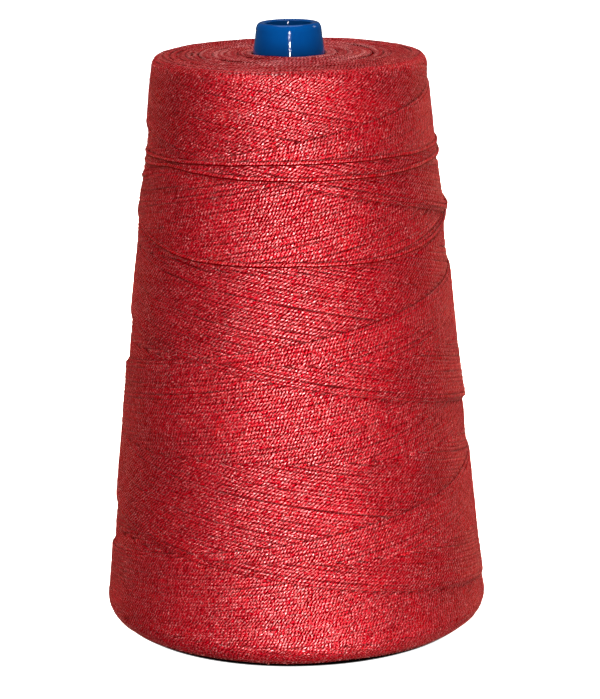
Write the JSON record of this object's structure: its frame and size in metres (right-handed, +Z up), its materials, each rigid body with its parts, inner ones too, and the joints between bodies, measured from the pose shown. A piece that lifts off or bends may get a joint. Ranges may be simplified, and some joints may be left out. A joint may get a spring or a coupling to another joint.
{
  "type": "cone of sewing twine on a tapered plastic core",
  "caption": "Tall cone of cross-wound red sewing twine on a hollow tapered blue plastic core whose rounded nose stands out of the top.",
  "frame": {"origin": "on the axis, at the foot of the core, in the plane that the cone stands on", "axes": "+Z up along the axis, from the wide foot to the nose; -Y is the front"},
  "size_m": [0.1456, 0.1456, 0.23],
  "materials": {
    "core": "glossy moulded mid blue plastic, faintly scuffed",
    "twine": "matt, slightly hairy plied red twine with a soft sheen"
  },
  "bodies": {
    "root": {"core": "core", "twine": "twine"}
  },
  "joints": []
}
